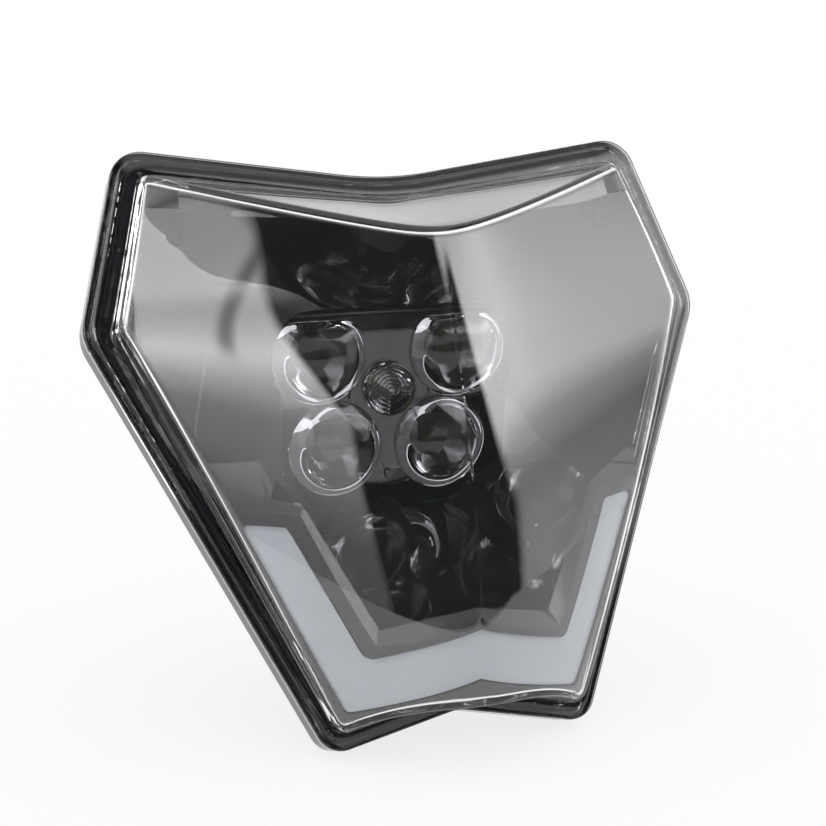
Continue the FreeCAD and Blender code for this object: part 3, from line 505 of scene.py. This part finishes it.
def dome_surface(angles, lift, front, side, ledge, blend, steps=900):
    """Points (angle, step) on the dome, from the height lift over the rim's plane up to the middle."""
    foot = reach_at(inset(dome_corners, side), angles)
    crown_corners = inset(dome_corners, side + DRAFT)
    notch = len(crown_corners) // 2
    crown_corners[notch] = (0.0, crown_corners[notch][1] - CHIN_DROP, crown_corners[notch][2])
    crown = reach_at(crown_corners, angles)
    start = np.arctan2(lift, foot)
    share = np.linspace(0.0, 1.0, steps)
    rise = start[:, None] + (math.pi / 2 - start[:, None]) * share[None, :]
    cos_a, sin_a = np.cos(angles)[:, None], np.sin(angles)[:, None]
    low = np.zeros_like(rise)
    high = np.full_like(rise, FARTHEST)
    for _ in range(HALVINGS):
        far = (low + high) / 2.0
        flat = far * np.cos(rise)
        up = far * np.sin(rise)
        x, s = flat * cos_a, flat * sin_a
        y = s * math.sin(RAKE) - up * math.cos(RAKE)
        z = s * math.cos(RAKE) + up * math.sin(RAKE)
        wall = foot[:, None] + (crown - foot)[:, None] * up / REACH
        wall = wall - ledge * np.clip((up - LEDGE_HEIGHT) / LEDGE_RISE, 0.0, 1.0)
        before_face = (face_y(x, z) + front * FACE_SLANT - y) / FACE_SLANT
        outside = soft_max(flat - wall, before_face, blend)
        outside = soft_max(outside, z - brow_z(x, y) + front, blend)
        high = np.where(outside > 0, far, high)
        low = np.where(outside > 0, low, far)
    return np.stack([x, y, z], 2)


SMOOTHING = 9


def smoothed(row):
    """A running mean along a row, its ends held."""
    return np.convolve(np.pad(row, SMOOTHING // 2, mode="edge"), np.ones(SMOOTHING) / SMOOTHING, "valid")


def thin_out(points, count, bend_weight):
    """Fewer points along every row, closer together where the row bends."""
    step = np.diff(points, axis=1)
    long = np.linalg.norm(step, axis=2) + 1e-9
    unit = step / long[:, :, None]
    bend = np.linalg.norm(np.diff(unit, axis=1), axis=2)
    weight = long.copy()
    weight[:, 1:] += bend_weight * bend
    weight = np.apply_along_axis(smoothed, 1, weight)
    total = np.concatenate([np.zeros((len(points), 1)), np.cumsum(weight, 1)], 1)
    rows = []
    for i in range(len(points)):
        targets = np.linspace(0.0, total[i, -1], count)
        rows.append(np.stack([np.interp(targets, total[i], points[i, :, k]) for k in range(3)], 1))
    return np.stack(rows)


def flat_ring(corners, angles, height):
    """One ring of points on an outline, at a height over the rim's plane."""
    far = reach_at(corners, angles)
    x, s = far * np.cos(angles), far * np.sin(angles)
    y = s * math.sin(RAKE) - height * math.cos(RAKE)
    z = s * math.cos(RAKE) + height * math.sin(RAKE)
    return np.stack([x, y, z], 1)


# %% [markdown]
# The closed mesh runs from the inside of the foot, round the tongue and the flange, up the wall, over the
# face to the middle, and back down the inside. The flange's profile is given as (outline, inset, height).

# %% Lens mesh
WALL = 2.4
outer_surface = dome_surface(angles, lift=1.0, front=0.0, side=0.0, ledge=0.5, blend=1.6)
inner_surface = dome_surface(angles, lift=0.0, front=WALL, side=WALL, ledge=0.0, blend=1.2)
outer_dome = thin_out(outer_surface, 110, 14.0)
inner_dome = thin_out(inner_surface, 90, 10.0)
flange_profile = [
    (dome_corners, WALL, -2.9), (dome_corners, 2.3, -3.0), (rim_corners, 4.9, -3.0),
    (rim_corners, 4.8, -6.4), (rim_corners, 4.7, -6.5), (rim_corners, 3.1, -6.5),
    (rim_corners, 2.95, -6.4), (rim_corners, 2.9, -3.0), (rim_corners, 0.25, -3.0),
    (rim_corners, 0.0, -2.75), (rim_corners, 0.0, -0.5), (rim_corners, 0.15, -0.15),
    (rim_corners, 0.5, 0.0), (rim_corners, 1.95, 0.0), (rim_corners, 2.2, 0.15),
    (rim_corners, 2.3, 0.8), (rim_corners, 2.5, 1.0)]
rings = [flat_ring(inset(corners, inwards), angles, height) for corners, inwards, height in flange_profile]
rows = rings + [outer_dome[:, k] for k in range(outer_dome.shape[1] - 1)]
outer_pole = outer_dome[:, -1].mean(0)
inner_rows = [inner_dome[:, k] for k in range(inner_dome.shape[1] - 1)]
inner_pole = inner_dome[:, -1].mean(0)
count = len(angles)
points = np.concatenate(rows + inner_rows[::-1] + [outer_pole[None], inner_pole[None]])
faces = []


def stitch(first, second):
    """Four-sided faces between two rings, given by their numbers."""
    for i in range(count):
        j = (i + 1) % count
        faces.append((first * count + i, first * count + j, second * count + j, second * count + i))


for k in range(len(rows) - 1):
    stitch(k, k + 1)
last_outer = len(rows) - 1
first_inner = len(rows)
last_inner = len(rows) + len(inner_rows) - 1
for k in range(first_inner, last_inner):
    stitch(k, k + 1)
stitch(last_inner, 0)
outer_tip = len(points) - 2
inner_tip = len(points) - 1
for i in range(count):
    j = (i + 1) % count
    faces.append((last_outer * count + i, last_outer * count + j, outer_tip))
    faces.append((inner_tip, first_inner * count + j, first_inner * count + i))
lens = smooth_mesh("clear_lens", places(points), faces, sharp=60.0)
lens.data.materials.append(lens_clear)
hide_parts("outer_lens")
print("lens faces", len(lens.data.polygons))

# %% [markdown]
# The optic is made again too, from closed shapes that are joined at the end. Most of them are profiles turned
# about an axis that runs to the back; a flat at the top shrinks the profile's radius there.

# %% Turned shapes
TURNS = 96
FLAT_POWER = 14
shells = []


def turned(profile, centre, flat=None):
    """A closed shape turned about a centre (x, z), its profile given as (radius, y) from front to back."""
    around = np.arange(TURNS) * 2.0 * math.pi / TURNS
    shrink = np.ones(TURNS)
    if flat is not None:
        shrink = (1.0 + (np.maximum(np.sin(around), 0.0) / flat) ** FLAT_POWER) ** (-1.0 / FLAT_POWER)
    x, z = centre
    points = [(x, profile[0][1], z)]
    for radius, y in profile[1:-1]:
        for k in range(TURNS):
            reach = radius * shrink[k]
            points.append((x + reach * math.cos(around[k]), y, z + reach * math.sin(around[k])))
    points.append((x, profile[-1][1], z))
    end = len(points) - 1
    last = end - TURNS
    faces = []
    for k in range(TURNS):
        j = (k + 1) % TURNS
        faces.append((0, 1 + k, 1 + j))
        faces.append((end, last + j, last + k))
        for low in range(1, last, TURNS):
            faces.append((low + k, low + TURNS + k, low + TURNS + j, low + j))
    shells.append((points, faces))


# %% [markdown]
# Each of the four collimators is a dome, a short rim and a bowl that narrows to a foot just before the
# emitter. The upper pair are cut flat at the top.

# %% Collimators
UPPER = (23.0, 11.4)
LOWER = (17.8, -18.7)
LENS_RADIUS = 15.4
DOME_RISE = 6.0
RIM_Y = 26.0
BOWL_START = (LENS_RADIUS, 28.5)
BOWL_BEND = (14.2, 34.0)
BOWL_FOOT = (5.2, 38.3)
FLAT_Z = 22.5


def collimator_profile():
    """From the dome's top to the middle of the foot; the bowl is a quadratic curve."""
    dome_radius = (LENS_RADIUS ** 2 + DOME_RISE ** 2) / (2.0 * DOME_RISE)
    top = RIM_Y - DOME_RISE
    rows = [(0.0, top)]
    for radius in np.linspace(0.4, LENS_RADIUS - 0.2, 30):
        rows.append((radius, top + dome_radius - math.sqrt(dome_radius ** 2 - radius ** 2)))
    rows += [(LENS_RADIUS, RIM_Y + 0.15), (LENS_RADIUS + 0.1, RIM_Y + 0.4),
             (LENS_RADIUS + 0.1, RIM_Y + 2.2), (LENS_RADIUS, RIM_Y + 2.4)]
    for share in np.linspace(0.05, 1.0, 20):
        shares = ((1 - share) ** 2, 2 * share * (1 - share), share ** 2)
        rows.append(tuple(shares[0] * start + shares[1] * bend + shares[2] * foot
                          for start, bend, foot in zip(BOWL_START, BOWL_BEND, BOWL_FOOT)))
    return rows + [(5.0, 38.4), (0.0, 38.4)]


for side in (-1, 1):
    turned(collimator_profile(), (side * UPPER[0], UPPER[1]), flat=(FLAT_Z - UPPER[1]) / LENS_RADIUS)
    turned(collimator_profile(), (side * LOWER[0], LOWER[1]))
print("collimators", len(shells))

# %% [markdown]
# The middle lens has fine rings, each a small ramp.

# %% Ring lens
RINGS = 7
RING_RADIUS = 8.6
RING_CREST = 23.3
RING_VALLEY = 24.3
ring_rows = [(0.0, RING_CREST)]
for ring in range(RINGS):
    outer = RING_RADIUS * (ring + 1) / RINGS - 0.25
    inner = RING_RADIUS * ring / RINGS
    foot = RING_CREST if ring == 0 else RING_VALLEY
    ring_rows += [(inner + 0.15, foot), (outer - 0.3, RING_CREST), (outer, RING_CREST + 0.1)]
ring_rows += [(RING_RADIUS, 23.7), (RING_RADIUS, 28.5), (0.0, 28.5)]
turned(ring_rows, (0.0, 0.0))
print("points on the rings' profile", len(ring_rows))

# %% [markdown]
# A plate and two ribbed arms join the five lenses. Posts behind the arms' ends take the screws, and a pin
# below places the optic on the board.

# %% Plate, arms, posts and pin
PLATE = [(23.0, 19.0, 8.0), (27.0, 0.0, 8.0), (25.5, -27.9, 8.0), (0.0, -32.0, 8.0)]
ARMS = [(43.0, 4.5, 4.0), (43.0, -4.5, 4.0)]
RIB_PITCH = 5.0
POST_X = 39.0
PIN_Z = -28.0


def pressed(corners, front, back, rounding=0.25):
    """A closed plate of an outline, its front edge rounded a little."""
    layers = [(inset(corners, rounding), front), (inset(corners, rounding * 0.3), front + rounding * 0.3),
              (corners, front + rounding), (corners, back)]
    points = []
    for layer_corners, y in layers:
        points += [(x, y, z) for x, z in trace(layer_corners, arc_steps=12, spacing=400.0)]
    length = len(points) // len(layers)
    faces = []
    for low in range(0, len(points) - length, length):
        for k in range(length):
            j = (k + 1) % length
            faces.append((low + k, low + length + k, low + length + j, low + j))
    faces.append(tuple(range(length)))
    faces.append(tuple(reversed(range(len(points) - length, len(points)))))
    shells.append((points, faces))


pressed(mirrored(PLATE), RIM_Y, RIM_Y + 2.5)
pressed(mirrored(ARMS), RIM_Y - 0.1, RIM_Y + 2.4)
for side in (-1, 1):
    for rib in range(4):
        x = side * (RING_RADIUS + RIB_PITCH * (rib + 1))
        pressed([(x + 0.4, 2.6, 0.2), (x + 0.4, -2.6, 0.2), (x - 0.4, -2.6, 0.2), (x - 0.4, 2.6, 0.2)],
                RIM_Y - 0.8, RIM_Y + 0.3, 0.15)
    turned([(0.0, 28.6), (5.2, 28.6), (5.2, 39.3), (0.0, 39.3)], (side * POST_X, 0.0))
turned([(0.0, 25.2), (1.3, 25.2), (1.5, 25.4), (1.5, 39.3), (0.0, 39.3)], (0.0, PIN_Z))
print("closed shapes", len(shells))

# %% [markdown]
# The optic is one moulding, so its shapes are joined: light must not meet a face inside the plastic.

# %% Join the optic


def closed_shape(points, faces):
    """An object of one closed shape, its faces turned outwards."""
    mesh = bpy.data.meshes.new("shape")
    mesh.from_pydata([tuple(p) for p in places(points)], [], faces)
    outward = bmesh.new()
    outward.from_mesh(mesh)
    bmesh.ops.recalc_face_normals(outward, faces=outward.faces)
    outward.to_mesh(mesh)
    outward.free()
    shape = bpy.data.objects.new("shape", mesh)
    bpy.context.scene.collection.objects.link(shape)
    return shape


shapes = [closed_shape(*shell) for shell in shells]
for shape in shapes[1:]:
    joint = shapes[0].modifiers.new("join", "BOOLEAN")
    joint.operation = "UNION"
    joint.solver = "MANIFOLD"
    joint.object = shape
joined = shapes[0].evaluated_get(bpy.context.evaluated_depsgraph_get())
whole = bpy.data.meshes.new_from_object(joined)
optic_points = [tuple(v.co) for v in whole.vertices]
optic_faces = [tuple(face.vertices) for face in whole.polygons]
bpy.data.meshes.remove(whole)
for shape in shapes:
    bpy.data.meshes.remove(shape.data)
optic = smooth_mesh("optic", optic_points, optic_faces, sharp=40.0)
optic.data.materials.append(optic_clear)
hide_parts("collimator_cluster")
print("optic faces", len(optic.data.polygons))

# %% [markdown]
# The room is a studio with a white background. The camera sees plain white there, and so do metal and glass
# behind the lamp. In front of it they see the photographer's side of the room: a dark wall, with a tall soft
# box on the right and another on the left. The gap between the two draws the dark band down the bezel.

# %% Directions in the studio
world = bpy.data.worlds.new("studio")
bpy.context.scene.world = world
tree = Tree("studio", world)
towards = tree.add("ShaderNodeSeparateXYZ", None, {0: tree.add("ShaderNodeTexCoord").out("Generated")})
forwards = towards.out("Y") * -1.0
aside = tree.add("ShaderNodeMath", {"operation": "ARCTAN2"}, {0: towards.out("X"), 1: forwards})
above = tree.add("ShaderNodeMath", {"operation": "ARCSINE"}, {0: towards.out("Z")})
azimuth = aside.out(0) * math.degrees(1.0)
elevation = above.out(0) * math.degrees(1.0)


def profile(angle, span, stops):
    """A level that changes with an angle between minus and plus the span; stops are (degrees, level)."""
    share = angle * (0.5 / span) + 0.5
    grey = [((degrees + span) / (2.0 * span), (level, level, level, 1.0)) for degrees, level in stops]
    return tree.add("ShaderNodeValToRGB", {"stops": grey}, {0: share}).out(0)


print("direction nodes", len(tree.nodes))

# %% [markdown]
# Both boxes change in brightness with height. Their inner edges lean outwards, the right one's below and the
# left one's above.

# %% Soft boxes
RIGHT_BOX = 5.0
LEFT_BOX = 5.0
right_azimuth = azimuth + (elevation - 17.0).largest(-10.0) * 0.77
right_height = profile(elevation, 90.0, [(-30, 0.3), (2, 0.3), (8, 0.25), (13, 0.45), (17, 0.9), (25, 1.0),
                                         (33, 0.95), (48, 0.7), (58, 0.15)])
right_width = profile(azimuth, 180.0, [(66, 1.0), (80, 0.6), (92, 0.45), (100, 0.3), (125, 0.15)])
right_box = right_azimuth.between(44.0, 51.0) * right_height * right_width * RIGHT_BOX
left_rise = (elevation - 23.0).largest(0.0)
left_azimuth = azimuth + left_rise * 0.5 + (left_rise * 0.0304).power(6.7) * 10.85
left_height = profile(elevation, 90.0, [(-10, 0.1), (4, 0.13), (12, 0.25), (22, 0.32), (27, 0.6), (33, 1.1),
                                        (38, 0.8), (43, 0.62), (50, 0.52), (57, 0.46), (65, 0.36)])
left_area = left_azimuth.between(-27.9, -28.9).largest(azimuth.between(-58.0, -66.0))
left_box = left_area * azimuth.between(-130.0, -95.0) * left_height * LEFT_BOX
print("nodes so far", len(tree.nodes))

# %% [markdown]
# A dark seam parts the two panels of the left box. Over both boxes hangs a dim ceiling light, and behind the
# lamp is the white background.

# %% Seam, ceiling and background
SEAM_DEPTH = 0.6
TOP_BOX = 1.2
FRONT_WALL = 0.1
across_seam = left_azimuth - (elevation - 48.4) * 0.265
seam = across_seam.between(-29.3, -28.5) * across_seam.between(-27.7, -28.3)
seam = seam * elevation.between(30.0, 36.0) * elevation.between(51.0, 47.0)
left_box = left_box * (1.0 - seam * SEAM_DEPTH)
top_box = elevation.between(58.0, 70.0) * TOP_BOX
background = azimuth.between(105.0, 125.0).largest(azimuth.between(-105.0, -125.0))
studio = right_box.largest(left_box).largest(top_box).largest(background).largest(FRONT_WALL)
print("studio nodes", len(tree.nodes))

# %% [markdown]
# Everything matt is lit by a plain white surround, so that each colour renders about as it is written.

# %% World
PLAIN_LIGHT = 1.0
WHITE = (1.0, 1.0, 1.0, 1.0)
path = tree.add("ShaderNodeLightPath")
mirrored_or_clear = path.out("Is Glossy Ray").largest(path.out("Is Transmission Ray"))
plain = tree.add("ShaderNodeBackground", None, {"Color": WHITE, "Strength": PLAIN_LIGHT}).out(0)
room = tree.add("ShaderNodeBackground", None, {"Color": (0.985, 0.99, 1, 1), "Strength": studio}).out(0)
white = tree.add("ShaderNodeBackground", None, {"Color": WHITE, "Strength": 1.0}).out(0)
seen = tree.add("ShaderNodeMixShader", None, {0: mirrored_or_clear, 1: plain, 2: room}).out(0)
seen = tree.add("ShaderNodeMixShader", None, {0: path.out("Is Camera Ray"), 1: seen, 2: white}).out(0)
tree.finish(seen)
print("world", world.name)

# %% [markdown]
# The floor is a white table just under the lamp. Four fifths of what is seen of it is plain white, and the
# rest is its own matt white, which keeps the lamp's shadow.

# %% Floor
FLOOR_SIZE = 1.3
PLAIN_SHARE = 0.8
low_z = size_before[0][2]
bpy.ops.mesh.primitive_plane_add(size=FLOOR_SIZE, location=(0.0, 0.0, low_z))
floor = bpy.context.object
floor.name = "floor"
tree = Tree("floor_white")
path = tree.add("ShaderNodeLightPath")
seen = path.out("Is Camera Ray").largest(path.out("Is Glossy Ray")).largest(path.out("Is Transmission Ray"))
glow = tree.add("ShaderNodeEmission", None, {"Color": WHITE, "Strength": 1.0}).out(0)
matt = tree.principled(Base_Color=(0.98, 0.98, 0.98, 1.0), Roughness=0.9, Specular_IOR_Level=0.0)
mixed = tree.add("ShaderNodeMixShader", None, {0: seen * PLAIN_SHARE, 1: matt, 2: glow}).out(0)
floor.data.materials.append(tree.finish(mixed))

bpy.context.scene.view_settings.view_transform = "Standard"
print("floor at", round(low_z, 4))
